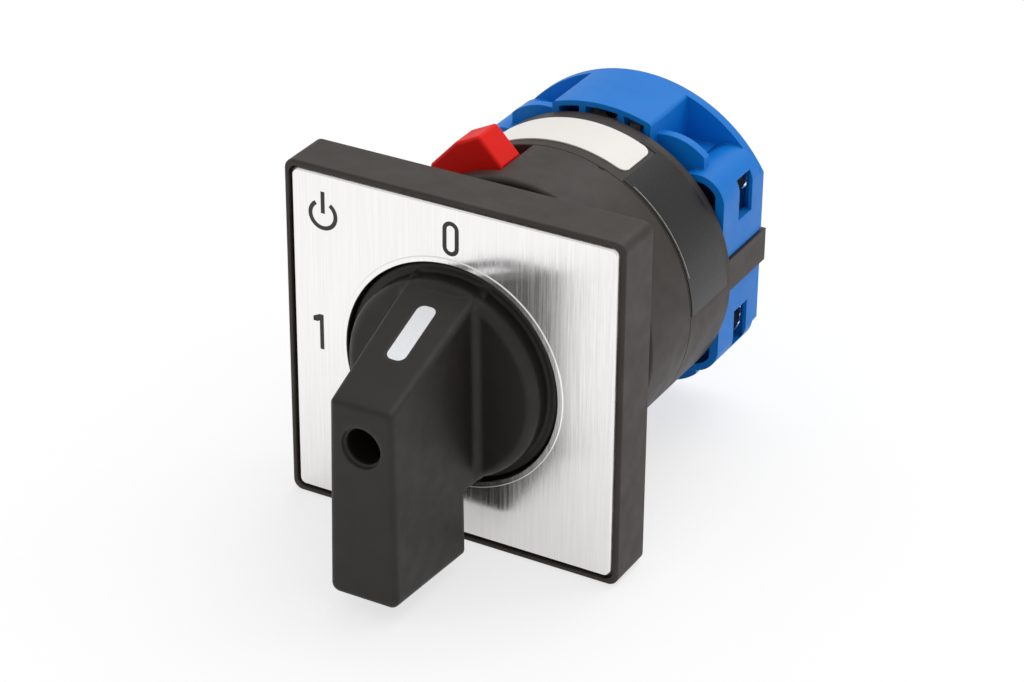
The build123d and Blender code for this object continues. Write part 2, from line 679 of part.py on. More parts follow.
def snap_strap(side):
    """Strap with its hook behind the deck."""
    arm = bar(STRAP_IN, STRAP_OUT, MECH_PLATE_Y, STRAP_END_Y, -STRAP_HALF, STRAP_HALF)
    foot = bar(STRAP_IN, STRAP_OUT + STRAP_FOOT, MECH_PLATE_Y, MECH_END_Y, -STRAP_HALF, STRAP_HALF)
    hook = bar(STRAP_IN - HOOK_IN, STRAP_IN, DECK_END_Y, STRAP_END_Y, -STRAP_HALF, STRAP_HALF)
    return quadrant(arm + foot + hook, side, 1)


def mechanism_housing():
    """Second round housing with stops, spring posts and the two snap straps."""
    shell = disc(BODY_R, SEAM_Y, MECH_END_Y)
    shell = chamfer(shell.faces().sort_by(Axis.Y)[0].edges(), SEAM_BEVEL)
    shell -= disc(BODY_R - MECH_WALL, MECH_INSIDE_Y, MECH_END_Y)
    shell -= disc(BODY_R - MECH_REAR_WALL, MECH_PLATE_Y, MECH_END_Y)
    shell -= disc(HUB_BEARING_R + BEARING_GAP, SEAM_Y, MECH_INSIDE_Y)
    for start, end in stop_faces():
        stop = sector(WHEEL_R + STOP_GAP, STOP_LUG_R, start, end)
        shell += slab(stop, MECH_INSIDE_Y - STOP_ROOT, WHEEL_END_Y)
    for side, level in QUADRANTS:
        shell += leaf_post(side, level)
    for side in (1, -1):
        shell += snap_strap(side)
    for place in body_screw_places():
        shell -= disc(BODY_SCREW_R, SEAM_Y, MECH_INSIDE_Y, *place)
    return one(shell)


def mechanism_plate():
    """Cover disc behind the detent wheel."""
    edge = BODY_R - MECH_REAR_WALL - MECH_PLATE_GAP
    body = slab(Circle(edge) - Circle(SHAFT_CLEAR_R), MECH_PLATE_Y, PLATE_BACK_Y)
    for side in (1, -1):
        half = STRAP_HALF + STRAP_GAP
        body -= bar(side * (STRAP_IN - STRAP_GAP), side * BODY_R, MECH_PLATE_Y, PLATE_BACK_Y, -half, half)
    return body


def body_screws():
    """Two screws that join the housings."""
    screws = []
    for place in body_screw_places():
        head = disc(BODY_SCREW_HEAD_R, MECH_INSIDE_Y, MECH_INSIDE_Y + BODY_SCREW_HEAD, *place)
        shank = disc(BODY_SCREW_R, MECH_INSIDE_Y - BODY_SCREW_REACH, MECH_INSIDE_Y, *place)
        screws.append(one(head + shank))
    return Compound(children=screws)


def drive_shaft():
    """Square shaft, tapped in front, round at its rear end."""
    body = square_shaft(SHAFT_SIZE, SHAFT_FRONT_Y, SHAFT_END_Y)
    body += disc(SHAFT_END_R, SHAFT_END_Y, SHAFT_END_Y + SHAFT_END)
    body -= disc(KNOB_SCREW_R, SHAFT_FRONT_Y, SHAFT_FRONT_Y + KNOB_SCREW_REACH)
    groove = Circle(SHAFT_SIZE) - Circle(RETAINER_GROOVE_R)
    return one(body - slab(groove, RETAINER_Y, RETAINER_Y + RETAINER_THICKNESS))


def retaining_ring():
    """Open ring in the shaft's groove."""
    flat = sector(RETAINER_GROOVE_R, RETAINER_R, -50, 230)
    return slab(flat, RETAINER_Y, RETAINER_Y + RETAINER_THICKNESS)


def detent_wheel():
    """Wheel with four notches, a stop lug and a bearing hub."""
    notch = polygon((
        (WHEEL_R - NOTCH_DEPTH, 0),
        (WHEEL_R + 1, 0),
        (WHEEL_R + 1, NOTCH_HALF * 2),
        (WHEEL_R, NOTCH_HALF),
    ))
    profile = Circle(WHEEL_R) + sector(WHEEL_R - 1, STOP_LUG_R, STOP_LUG_START, STOP_LUG_END)
    for step in range(4):
        for flank in (notch, mirror(notch, about=Plane.XZ)):
            profile -= Rot(0, 0, 90 * step) * flank
    body = slab(profile, WHEEL_Y, WHEEL_END_Y)
    body += disc(HUB_BEARING_R, SEAM_Y, WHEEL_Y)
    body += disc(HUB_BEARING_R, WHEEL_END_Y, WHEEL_END_Y + WHEEL_HUB)
    return one(body - square_shaft(SOCKET_SIZE, SEAM_Y, WHEEL_END_Y + WHEEL_HUB))


def detent_spring(side):
    """Leaf spring whose nose rests in a notch of the wheel."""
    nose = WHEEL_R - NOTCH_DEPTH + LEAF_NOSE_GAP + LEAF_THICKNESS / 2
    points = (
        (LEAF_PLACE, -LEAF_HALF),
        (LEAF_PLACE, -LEAF_NOSE_HALF),
        (nose, 0),
        (LEAF_PLACE, LEAF_NOSE_HALF),
        (LEAF_PLACE, LEAF_HALF),
    )
    strip = trace(FilletPolyline(*points, radius=LEAF_BEND_R), line_width=LEAF_THICKNESS)
    start = WHEEL_Y + (WHEEL_LENGTH - LEAF_WIDTH) / 2
    return quadrant(one(slab(strip, start, start + LEAF_WIDTH)), side, 1)


def white_label():
    """White label on the mechanism housing, corners rounded."""
    strip = sector(BODY_R, BODY_R + WHITE_LABEL_THICKNESS, WHITE_LABEL_START, WHITE_LABEL_END)
    start = SEAM_Y + WHITE_LABEL_FRONT
    body = slab(strip, start, start + WHITE_LABEL_WIDTH)
    short = body.edges().filter_by(lambda e: e.length < 2 * WHITE_LABEL_THICKNESS)
    return fillet(short, LABEL_CORNER_R)


def dark_label():
    """Glossy dark label beside the white one."""
    strip = sector(BODY_R, BODY_R + DARK_LABEL_THICKNESS, DARK_LABEL_START, DARK_LABEL_END)
    start = SEAM_Y + DARK_LABEL_FRONT
    body = slab(strip, start, start + DARK_LABEL_WIDTH)
    gap_angle = math.degrees(LABEL_GAP / BODY_R)
    space = sector(BODY_R - 1, BODY_R + 1, WHITE_LABEL_START - gap_angle, WHITE_LABEL_END)
    end = SEAM_Y + WHITE_LABEL_FRONT + WHITE_LABEL_WIDTH + LABEL_GAP / 2
    return one(body - slab(space, SEAM_Y, end))


def tower_profile(radius, half, low):
    """Arch of a terminal tower in the upper right quadrant."""
    block = Pos(TOWER_X, (low + TOWER_Z) / 2) * Rectangle(2 * half, TOWER_Z - low)
    return Pos(TOWER_X, TOWER_Z) * Circle(radius) + block


def deck_quadrant():
    """Tower, side wall, lip and chamber walls of the upper right quadrant."""
    front = DECK_Y + TOWER_SETBACK
    limit = bar(CHAMBER_X, DECK_HALF, DECK_Y, DECK_FLOOR_Y, 0, DECK_R)
    tower = slab(tower_profile(TOWER_R, TOWER_R, TOWER_SHELF), DECK_Y, DECK_FLOOR_Y) & limit
    cut_x = DECK_HALF - DECK_WALL
    inner_r = TOWER_R - TOWER_RIM
    recess = slab(tower_profile(inner_r, inner_r, TOWER_SHELF), DECK_Y, front)
    tower -= recess & bar(CHAMBER_X, cut_x, DECK_Y, front, 0, DECK_R)
    cavity = tower_profile(CAVITY_HALF, CAVITY_HALF, TOWER_SHELF + CAVITY_SHELF)
    tower -= slab(cavity, front + TOWER_FRONT, DECK_FLOOR_Y)
    hole = Pos(0, TOWER_HOLE_RAISE) * tower_profile(TOWER_HOLE_R, TOWER_HOLE_R, TOWER_Z - TOWER_HOLE_R)
    tower -= slab(hole, front, front + TOWER_FRONT)
    low = TOWER_Z - SIDE_WINDOW_BELOW
    high = TOWER_Z + SIDE_WINDOW_ABOVE
    end = SIDE_WINDOW_Y + SIDE_WINDOW_LENGTH
    tower -= bar(cut_x - 1, DECK_HALF + 1, SIDE_WINDOW_Y, end, low, high)
    tower -= bar(cut_x - 1, DECK_HALF - SIDE_WINDOW_SKIN, SIDE_WINDOW_Y, end + SIDE_WINDOW_POCKET, low, high)
    wall = bar(cut_x, DECK_HALF, DECK_Y, DECK_FLOOR_Y, 0, TOWER_SHELF)
    pad = bar(STRAP_IN - STRAP_GAP - DECK_WALL, cut_x, DECK_Y, DECK_FLOOR_Y, 0, STRAP_HALF + DECK_WALL)
    side = bar(CHAMBER_X, CHAMBER_X + CHAMBER_WALL, PLATE_BACK_Y, DECK_FLOOR_Y, 0, CHAMBER_Z + CHAMBER_TOP)
    top = bar(HOOD_HALF - HOOD_WALL, CHAMBER_X + CHAMBER_WALL, PLATE_BACK_Y, DECK_FLOOR_Y,
              CHAMBER_Z, CHAMBER_Z + CHAMBER_TOP)
    lip_start = DECK_Y + LIP_SETBACK
    lip = disc(LIP_R, lip_start, lip_start + LIP_DEPTH, LIP_X, LIP_Z)
    lip &= bar(HOOD_HALF - HOOD_WALL / 2, TOWER_X, DECK_Y, DECK_FLOOR_Y, CHAMBER_Z, DECK_R)
    return tower + wall + pad + side + top + lip


def arm_slot():
    """Slot in the chamber wall for the arm of a fixed contact."""
    return bar(CHAMBER_X - ARM_SLOT_GAP, CHAMBER_X + CHAMBER_WALL + ARM_SLOT_GAP, PLATE_BACK_Y,
               TERMINAL_Y + ARM_WIDTH + ARM_SLOT_GAP, ARM_LOW - ARM_SLOT_GAP, ARM_TOP + ARM_SLOT_GAP)


def guide_quadrant():
    """Guide rib and rear rail of a carrier, right half of the upper one."""
    inner = CARRIER_HALF + GUIDE_GAP
    start = DECK_Y + GUIDE_SETBACK
    rib = bar(inner, inner + GUIDE_WALL, start, DECK_FLOOR_Y, CARRIER_LOW - CAM_LIFT, GUIDE_TOP)
    reach = CONTACT_Y + BRIDGE_WIDTH / 2 + GUIDE_GAP
    low = BRIDGE_Z - TIP_HEIGHT - CAM_LIFT - GUIDE_GAP
    rib -= bar(inner - 1, inner + GUIDE_WALL + 1, start, reach, low, BRIDGE_TOP + GUIDE_GAP)
    rail = bar(RAIL_IN, RAIL_OUT, CARRIER_END_Y + GUIDE_GAP, DECK_FLOOR_Y, CARRIER_LOW, GUIDE_TOP)
    return rib + rail


def hood():
    """Roof with its side walls, front tabs and spring seat, upper one."""
    ring = Circle(DECK_R) - Circle(DECK_R - HOOD_SHELL)
    column = Pos(0, DECK_R / 2) * Rectangle(2 * HOOD_HALF, DECK_R)
    roof = slab(ring & column, DECK_Y, DECK_FLOOR_Y)
    walls = (Circle(DECK_R) & column) - Pos(0, DECK_R / 2) * Rectangle(2 * (HOOD_HALF - HOOD_WALL), DECK_R)
    roof += slab(walls, DECK_Y, DECK_FLOOR_Y) - bar(-DECK_R, DECK_R, DECK_Y, DECK_FLOOR_Y, 0, CHAMBER_Z)
    shoulder = math.sqrt(DECK_R**2 - HOOD_HALF**2)
    edges = roof.edges().filter_by(Axis.Y).filter_by(lambda e: abs(e.center().X) > HOOD_HALF - 0.01)
    roof = fillet(edges.filter_by(lambda e: abs(e.center().Z - shoulder) < 0.01), HOOD_EDGE_R)
    tabs = Circle(DECK_R - HOOD_SHELL / 2) & (
        Pos((HOOD_TAB_IN + HOOD_TAB_OUT) / 2, DECK_R / 2) * Rectangle(HOOD_TAB_OUT - HOOD_TAB_IN, DECK_R)
        + Pos(-(HOOD_TAB_IN + HOOD_TAB_OUT) / 2, DECK_R / 2) * Rectangle(HOOD_TAB_OUT - HOOD_TAB_IN, DECK_R)
    )
    tabs = slab(tabs, DECK_Y, DECK_Y + HOOD_TAB_DEPTH)
    roof += tabs - bar(-DECK_R, DECK_R, DECK_Y, DECK_FLOOR_Y, 0, DECK_R - HOOD_TAB_HEIGHT)
    seat = bar(-SEAT_HALF, SEAT_HALF, CONTACT_Y - SEAT_HALF, CONTACT_Y + SEAT_HALF,
               SPRING_TOP, DECK_R - HOOD_SHELL / 2)
    return roof + seat


def contact_housing():
    """Blue deck in one moulding."""
    outline = Circle(DECK_R) & Rectangle(2 * DECK_HALF, 2 * DECK_R)
    body = slab(outline, DECK_FLOOR_Y, DECK_END_Y)
    quarter = deck_quadrant() + guide_quadrant()
    for side, level in QUADRANTS:
        body += quadrant(quarter, side, level)
    for level in (1, -1):
        body += quadrant(hood(), 1, level)
    half = STRAP_HALF + STRAP_GAP
    for side in (1, -1):
        body -= bar(side * (STRAP_IN - STRAP_GAP), side * (DECK_HALF + 1), DECK_Y, DECK_END_Y, -half, half)
    for side, level in QUADRANTS:
        body -= quadrant(arm_slot(), side, level)
        body -= disc(WASHER_R + WASHER_HOLE_GAP, DECK_FLOOR_Y, DECK_END_Y, side * TOWER_X, level * TOWER_Z)
    return one(body - disc(SHAFT_END_R + BEARING_GAP, DECK_FLOOR_Y, DECK_END_Y))


def cam_radius(angle):
    """Radius of the cam profile at an angle."""
    angle = angle % 180
    if angle <= TURN:
        return CAM_LOW + CAM_LIFT * angle / TURN
    if angle <= TURN + CAM_DWELL:
        return CAM_TOP
    if angle <= TURN + CAM_DWELL + CAM_FALL:
        return CAM_TOP - CAM_LIFT * (angle - TURN - CAM_DWELL) / CAM_FALL
    return CAM_LOW


def cam_curve(start, end):
    """Smooth piece of the cam profile."""
    steps = 10
    angles = [start + (end - start) * step / steps for step in range(steps + 1)]
    return Spline(*[polar(cam_radius(min(angle, end - 1e-9)), angle) for angle in angles])


def cam():
    """Cam with two equal lobes on square bore bosses."""
    edges = []
    for turn in (0, 180):
        rise = cam_curve(turn, turn + TURN)
        fall_start = turn + TURN + CAM_DWELL
        fall = cam_curve(fall_start, fall_start + CAM_FALL)
        dwell = CenterArc((0, 0), CAM_TOP, turn + TURN, CAM_DWELL)
        rest = CenterArc((0, 0), CAM_LOW, fall_start + CAM_FALL, CAM_REST)
        edges += [rise, dwell, fall, rest]
    body = slab(make_face(edges), CAM_Y, CAM_END_Y)
    front = RETAINER_Y + RETAINER_THICKNESS
    body += disc(CAM_BOSS_R, front, CAM_Y) + disc(CAM_BOSS_R, CAM_END_Y, SHAFT_END_Y)
    return one(body - square_shaft(SOCKET_SIZE, front, SHAFT_END_Y))


def carrier():
    """Upper plunger with its nose, bridge slot and spring pocket."""
    body = bar(-CARRIER_HALF, CARRIER_HALF, CARRIER_Y, CARRIER_END_Y, CARRIER_LOW, CARRIER_TOP)
    nose = Pos(0, NOSE_TIP + NOSE_R) * Circle(NOSE_R)
    nose += Pos(0, (NOSE_TIP + NOSE_R + CARRIER_LOW + 1) / 2) * Rectangle(
        2 * NOSE_R, CARRIER_LOW + 1 - NOSE_TIP - NOSE_R)
    body += slab(nose, CONTACT_Y - NOSE_DEPTH / 2, CONTACT_Y + NOSE_DEPTH / 2)
    reach = BRIDGE_WIDTH / 2 + BRIDGE_SLOT_GAP
    body -= bar(-CARRIER_HALF - 1, CARRIER_HALF + 1, CONTACT_Y - reach, CONTACT_Y + reach,
                BRIDGE_Z, BRIDGE_Z + BRIDGE_SLOT)
    pocket_r = SPRING_R + SPRING_WIRE_R + SPRING_POCKET_GAP
    pocket = Cylinder(pocket_r, CARRIER_TOP - BRIDGE_Z, align=(Align.CENTER, Align.CENTER, Align.MIN))
    return one(body - Pos(0, CONTACT_Y, BRIDGE_Z) * pocket)


def contact_bridge():
    """Upper moving bridge with a tip at each end."""
    y0 = CONTACT_Y - BRIDGE_WIDTH / 2
    y1 = CONTACT_Y + BRIDGE_WIDTH / 2
    body = bar(-BRIDGE_HALF, BRIDGE_HALF, y0, y1, BRIDGE_Z, BRIDGE_TOP)
    for side in (1, -1):
        tip = Cylinder(TIP_HALF, TIP_HEIGHT, align=(Align.CENTER, Align.CENTER, Align.MIN))
        body += Pos(side * TIP_PLACE, CONTACT_Y, BRIDGE_Z - TIP_HEIGHT) * tip
    return body


def contact_spring():
    """Upper coil spring between bridge and hood."""
    low = BRIDGE_TOP + SPRING_WIRE_R
    high = SPRING_TOP - SPRING_WIRE_R
    path = Helix(pitch=(high - low) / SPRING_TURNS, height=high - low, radius=SPRING_R)
    wire = Plane(origin=path @ 0, z_dir=path % 0) * Circle(SPRING_WIRE_R)
    coil = sweep(wire, path=path, is_frenet=True)
    return Pos(0, CONTACT_Y, low) * coil


def fixed_contact(side, level):
    """Terminal plate with its arm and contact tip."""
    half = CAVITY_HALF - TERMINAL_GAP
    plate = slab(tower_profile(half, half, ARM_LOW), TERMINAL_Y, TERMINAL_Y + TERMINAL_THICKNESS)
    plate -= disc(TERMINAL_SCREW_R, TERMINAL_Y, TERMINAL_Y + TERMINAL_THICKNESS, TOWER_X, TOWER_Z)
    arm = bar(ARM_IN, TOWER_X, TERMINAL_Y, TERMINAL_Y + ARM_WIDTH, ARM_LOW, ARM_TOP)
    tip = Cylinder(TIP_HALF, FIXED_TIP, align=(Align.CENTER, Align.CENTER, Align.MIN))
    body = plate + arm + Pos(TIP_PLACE, CONTACT_Y, ARM_TOP) * tip
    return quadrant(one(body), side, level)


def at_terminals(shape):
    """The same shape at the four terminals."""
    places = [Pos(side * TOWER_X, 0, level * TOWER_Z) for side, level in QUADRANTS]
    return Compound(children=[one(place * shape) for place in places])


def terminal_washers():
    """Four clamp washers."""
    start = WASHER_END_Y - WASHER_THICKNESS
    ring = slab(Circle(WASHER_R) - Circle(TERMINAL_SCREW_R), start, WASHER_END_Y)
    return at_terminals(ring)


def terminal_screws():
    """Four slotted screws reached from behind."""
    head = disc(TERMINAL_HEAD_R, WASHER_END_Y, WASHER_END_Y + TERMINAL_HEAD)
    top = WASHER_END_Y + TERMINAL_HEAD
    head = fillet(head.faces().sort_by(Axis.Y)[-1].edges(), TERMINAL_HEAD / 4)
    half = TERMINAL_SLOT / 2
    head -= bar(-TERMINAL_HEAD_R, TERMINAL_HEAD_R, top - RECESS_DEPTH, top, -half, half)
    screw = head + disc(TERMINAL_SCREW_R, TERMINAL_Y, WASHER_END_Y)
    return at_terminals(screw)


PIECES = {
    "front_frame": front_frame(),
    "legend_plate": legend_plate(),
    "knob": knob(),
    "pointer_inlay": pointer_inlay(),
    "knob_screw": knob_screw(),
    "mounting_collar": mounting_collar(),
    "shaft_seal": shaft_seal(),
    "panel_gasket": panel_gasket(),
    "ring_nut": ring_nut(),
    "front_body": front_body(),
    "lock_ring": lock_ring(),
    "mechanism_housing": mechanism_housing(),
    "mechanism_plate": mechanism_plate(),
    "body_screws": body_screws(),
    "drive_shaft": drive_shaft(),
    "retaining_ring": retaining_ring(),
    "detent_wheel": detent_wheel(),
    "detent_spring_right": detent_spring(1),
    "detent_spring_left": detent_spring(-1),
    "white_label": white_label(),
    "dark_label": dark_label(),
    "contact_housing": contact_housing(),
    "cam": cam(),
    "carrier_top": carrier(),
    "carrier_bottom": mirrored(carrier()),
    "bridge_top": contact_bridge(),
    "bridge_bottom": mirrored(contact_bridge()),
    "spring_top": contact_spring(),
    "spring_bottom": mirrored(contact_spring()),
    "terminal_washers": terminal_washers(),
    "terminal_screws": terminal_screws(),
}
for number, (side, level) in enumerate(QUADRANTS, start=1):
    PIECES[f"fixed_contact_{number}"] = fixed_contact(side, level)

for name, shape in PIECES.items():
    export_step(shape, f"parts/{name}.step")
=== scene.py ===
import json
import math
import bmesh
import bpy
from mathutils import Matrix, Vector

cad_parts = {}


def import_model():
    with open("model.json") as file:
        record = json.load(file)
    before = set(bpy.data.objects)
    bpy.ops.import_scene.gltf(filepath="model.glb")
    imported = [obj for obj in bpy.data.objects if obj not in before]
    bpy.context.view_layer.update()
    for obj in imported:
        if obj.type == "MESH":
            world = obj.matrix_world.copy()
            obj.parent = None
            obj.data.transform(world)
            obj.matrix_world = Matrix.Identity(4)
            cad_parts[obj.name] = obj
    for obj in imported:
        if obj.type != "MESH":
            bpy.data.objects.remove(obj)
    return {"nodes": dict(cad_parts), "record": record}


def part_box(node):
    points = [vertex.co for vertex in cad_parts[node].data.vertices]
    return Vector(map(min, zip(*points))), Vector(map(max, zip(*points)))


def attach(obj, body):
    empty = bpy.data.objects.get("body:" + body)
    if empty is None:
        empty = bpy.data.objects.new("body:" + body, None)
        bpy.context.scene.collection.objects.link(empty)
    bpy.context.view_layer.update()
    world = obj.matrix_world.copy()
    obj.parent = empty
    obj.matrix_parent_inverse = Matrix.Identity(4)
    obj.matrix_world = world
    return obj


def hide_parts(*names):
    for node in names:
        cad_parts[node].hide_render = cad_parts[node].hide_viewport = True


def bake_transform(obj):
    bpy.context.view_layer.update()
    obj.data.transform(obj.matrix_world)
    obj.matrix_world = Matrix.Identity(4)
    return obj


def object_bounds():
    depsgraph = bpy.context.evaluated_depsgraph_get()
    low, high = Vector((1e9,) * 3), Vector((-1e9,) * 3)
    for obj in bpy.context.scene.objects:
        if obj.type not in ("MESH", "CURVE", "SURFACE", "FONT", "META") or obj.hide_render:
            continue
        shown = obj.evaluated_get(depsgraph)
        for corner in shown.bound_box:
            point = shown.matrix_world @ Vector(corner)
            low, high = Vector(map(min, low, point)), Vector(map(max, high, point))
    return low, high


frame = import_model()
NODES = frame["nodes"]
CAD_LOW, CAD_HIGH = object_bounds()
MM = 0.001

# Where the added pieces sit, taken from the nodes that carry them
RING_HEIGHT = 0.14 * MM
LEGEND_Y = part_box("legend_plate")[0][1] + RING_HEIGHT
BODY_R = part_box("front_body")[1][0]
SEAM_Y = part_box("front_body")[1][1]
DARK_LABEL_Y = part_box("dark_label")[0][1]
LABEL_R = BODY_R + 0.1 * MM
COLLAR_R = 11.1 * MM
FLOOR_Z = CAD_LOW[2]

# Printed legend, and a pale strip that paints the highlight on the dark label's front edge
LAYER_HALF_THICKNESS = 0.02 * MM
STROKE = 0.57 * MM
ZERO_WIDTH = 2.3 * MM
ZERO_HEIGHT = 4.7 * MM
ZERO_Z = 18.75 * MM
ONE_X = -18.95 * MM
ONE_Z = 0.65 * MM
ONE_HEIGHT = 5.0 * MM
FLAG_WIDTH = 0.95 * MM
FLAG_DROP = 0.45 * MM
FLAG_ROOT = 1.15 * STROKE
SIGN_X = -18.4 * MM
SIGN_Z = 17.4 * MM
SIGN_R = 1.55 * MM
SIGN_SWEEP = 290.0
SIGN_START = 0.05 * MM
SIGN_BAR = 3.0 * MM
SIGN_BAR_RAISE = 0.2 * MM
LINE_START = math.radians(57.0)
LINE_END = math.radians(17.0)
LINE_SETBACK = 0.4 * MM
LINE_WIDTH = 0.09 * MM

# Collar thread, seam nib and contact springs
THREAD_FRONT = 0.7 * MM
THREAD_PITCH = 1.0 * MM
THREAD_TURNS = 3.9
THREAD_R = 0.13 * MM
THREAD_SIDES = 6
THREAD_STEPS = 300
NIB_ANGLE = math.radians(70.6)
NIB_SIZE = (0.9 * MM, 0.5 * MM, 0.3 * MM)
NIB_EDGE = 0.1 * MM
SPRING_R = 1.6 * MM
WIRE_R = 0.25 * MM
WIRE_SIDES = 10
SPRING_TURNS = 5.5
SPRING_STEPS = 160
SMOOTH_ANGLE = math.radians(40)

# Grain of the surfaces
CLOUD_SIZE = 7 * MM
PATCH_SIZE = 2.5 * MM
SCRATCH_WIDTH = 0.16 * MM
STREAK_WIDTH = 0.15 * MM
SCRATCH_DEPTH = 0.002 * MM
STAIN_SIZE = 2.0 * MM
LINE_DEPTH = 0.004 * MM
FLECK_SIZE = 0.25 * MM

# Stage: share of plain white in the floor, seen directly and in reflections
FLOOR_SIZE = 6.0
FLOOR_GLOW = 0.68
MIRROR_GLOW = 0.45
HORIZON = 0.8
ZENITH = 0.7
CAMERA_PLACE = (0.17376, -0.303828, 0.194279)
CAMERA_TURN = (1.066834, -0.0074627, 0.511602)
CAMERA_LENS = 111.414
CAMERA_SENSOR = 36.0


def colour(code, alpha=1.0):
    """sRGB hex code to linear values."""
    values = []
    for k in (0, 2, 4):
        v = int(code[k:k + 2], 16) / 255
        values.append(v / 12.92 if v <= 0.04045 else ((v + 0.055) / 1.055) ** 2.4)
    return (*values, alpha)


def add_node(tree, kind, inputs=None, links=None, stops=(), **settings):
    """New node with its values, its settings and its incoming links."""
    node = tree.nodes.new(kind)
    for key, value in settings.items():
        setattr(node, key, value)
    for key, value in (inputs or {}).items():
        node.inputs[key].default_value = value
    for key, socket in (links or {}).items():
        tree.links.new(socket, node.inputs[key])
    for number, (place, value) in enumerate(stops):
        elements = node.color_ramp.elements
        element = elements[number] if number < len(elements) else elements.new(place)
        element.position = place
        element.color = value
    return node


def new_finish(name, base, rough, **sockets):
    """Material with its tree and shader."""
    mat = bpy.data.materials.new(name)
    mat.use_nodes = True
    shader = mat.node_tree.nodes["Principled BSDF"]
    shader.inputs["Base Color"].default_value = base
    shader.inputs["Roughness"].default_value = rough
    for key, value in sockets.items():
        shader.inputs[key.replace("_", " ")].default_value = value
    return mat, mat.node_tree, shader


def moulding(name, dark, light, edge, rough, level=0.5, grain=0.3, depth=0.006, soft_edge=0.18):
    """Polymer from an eroded mould: cloudy tone, matt grain, and a painted highlight in the lighter edge
    colour along edges that are rounded in the shading. Sizes in millimetres.
    """
    mat, tree, shader = new_finish(name, dark, rough)
    shader.inputs["Specular IOR Level"].default_value = level
    place = add_node(tree, "ShaderNodeTexCoord").outputs["Object"]
    cloud = add_node(tree, "ShaderNodeTexNoise", {"Scale": 1 / CLOUD_SIZE, "Detail": 4.0}, {"Vector": place})
    tone = add_node(tree, "ShaderNodeValToRGB", links={"Fac": cloud.outputs["Fac"]},
                    stops=((0.32, dark), (0.68, light)))
    round_edge = add_node(tree, "ShaderNodeBevel", {"Radius": soft_edge * MM}, samples=4)
    flat = add_node(tree, "ShaderNodeNewGeometry").outputs["Normal"]
    turn = add_node(tree, "ShaderNodeVectorMath", links={0: round_edge.outputs["Normal"], 1: flat},
                    operation="DOT_PRODUCT")
    # Painted highlight: edge mask where the rounded normal turns away from the flat one; these edges get the
    # lighter edge colour
    painted_edge_highlight = add_node(tree, "ShaderNodeMapRange", {"From Min": 0.995, "From Max": 0.85},
                   {"Value": turn.outputs["Value"]})
    mix = add_node(tree, "ShaderNodeMix", {7: edge}, {0: painted_edge_highlight.outputs["Result"], 6: tone.outputs["Color"]},
                   data_type="RGBA")
    tree.links.new(mix.outputs[2], shader.inputs["Base Color"])
    patch = add_node(tree, "ShaderNodeTexNoise", {"Scale": 1 / PATCH_SIZE, "Detail": 3.0}, {"Vector": place})
    gloss = add_node(tree, "ShaderNodeMapRange",
                     {"From Min": 0.3, "From Max": 0.7, "To Min": rough - 0.05, "To Max": rough + 0.05},
                     {"Value": patch.outputs["Fac"]})
    tree.links.new(gloss.outputs["Result"], shader.inputs["Roughness"])
    pits = add_node(tree, "ShaderNodeTexNoise", {"Scale": 1 / (grain * MM), "Detail": 2.0, "Roughness": 0.6},
                    {"Vector": place})
    relief = add_node(tree, "ShaderNodeBump", {"Distance": depth * MM},
                      {"Height": pits.outputs["Fac"], "Normal": round_edge.outputs["Normal"]})
    tree.links.new(relief.outputs["Normal"], shader.inputs["Normal"])
    return mat


def brushed_sheet():
    """Aluminium sheet, satin brushed upright: streaks draw reflections out into upright smears."""
    mat, tree, shader = new_finish("satin brushed aluminium sheet", colour("f4f3f2"), 0.24,
                                   Metallic=1.0, Anisotropic=0.85)
    place = add_node(tree, "ShaderNodeTexCoord").outputs["Object"]
    along = add_node(tree, "ShaderNodeMapping", {"Scale": (1.0, 1.0, 0.015)}, {"Vector": place})
    scratch = add_node(tree, "ShaderNodeTexNoise",
                       {"Scale": 1 / SCRATCH_WIDTH, "Detail": 3.0, "Roughness": 0.65},
                       {"Vector": along.outputs["Vector"]})
    streak = add_node(tree, "ShaderNodeTexNoise",
                      {"Scale": 1 / STREAK_WIDTH, "Detail": 3.0, "Roughness": 0.7},
                      {"Vector": along.outputs["Vector"]})
    tone = add_node(tree, "ShaderNodeValToRGB", links={"Fac": scratch.outputs["Fac"]},
                    stops=((0.3, colour("f5f3f2")), (0.7, colour("fcfafa"))))
    tree.links.new(tone.outputs["Color"], shader.inputs["Base Color"])
    gloss = add_node(tree, "ShaderNodeMapRange",
                     {"From Min": 0.35, "From Max": 0.65, "To Min": 0.12, "To Max": 0.23},
                     {"Value": streak.outputs["Fac"]})
    tree.links.new(gloss.outputs["Result"], shader.inputs["Roughness"])
    across = add_node(tree, "ShaderNodeTangent", direction_type="RADIAL", axis="Z")
    tree.links.new(across.outputs["Tangent"], shader.inputs["Tangent"])
    relief = add_node(tree, "ShaderNodeBump", {"Distance": SCRATCH_DEPTH}, {"Height": scratch.outputs["Fac"]})
    tree.links.new(relief.outputs["Normal"], shader.inputs["Normal"])
    return mat


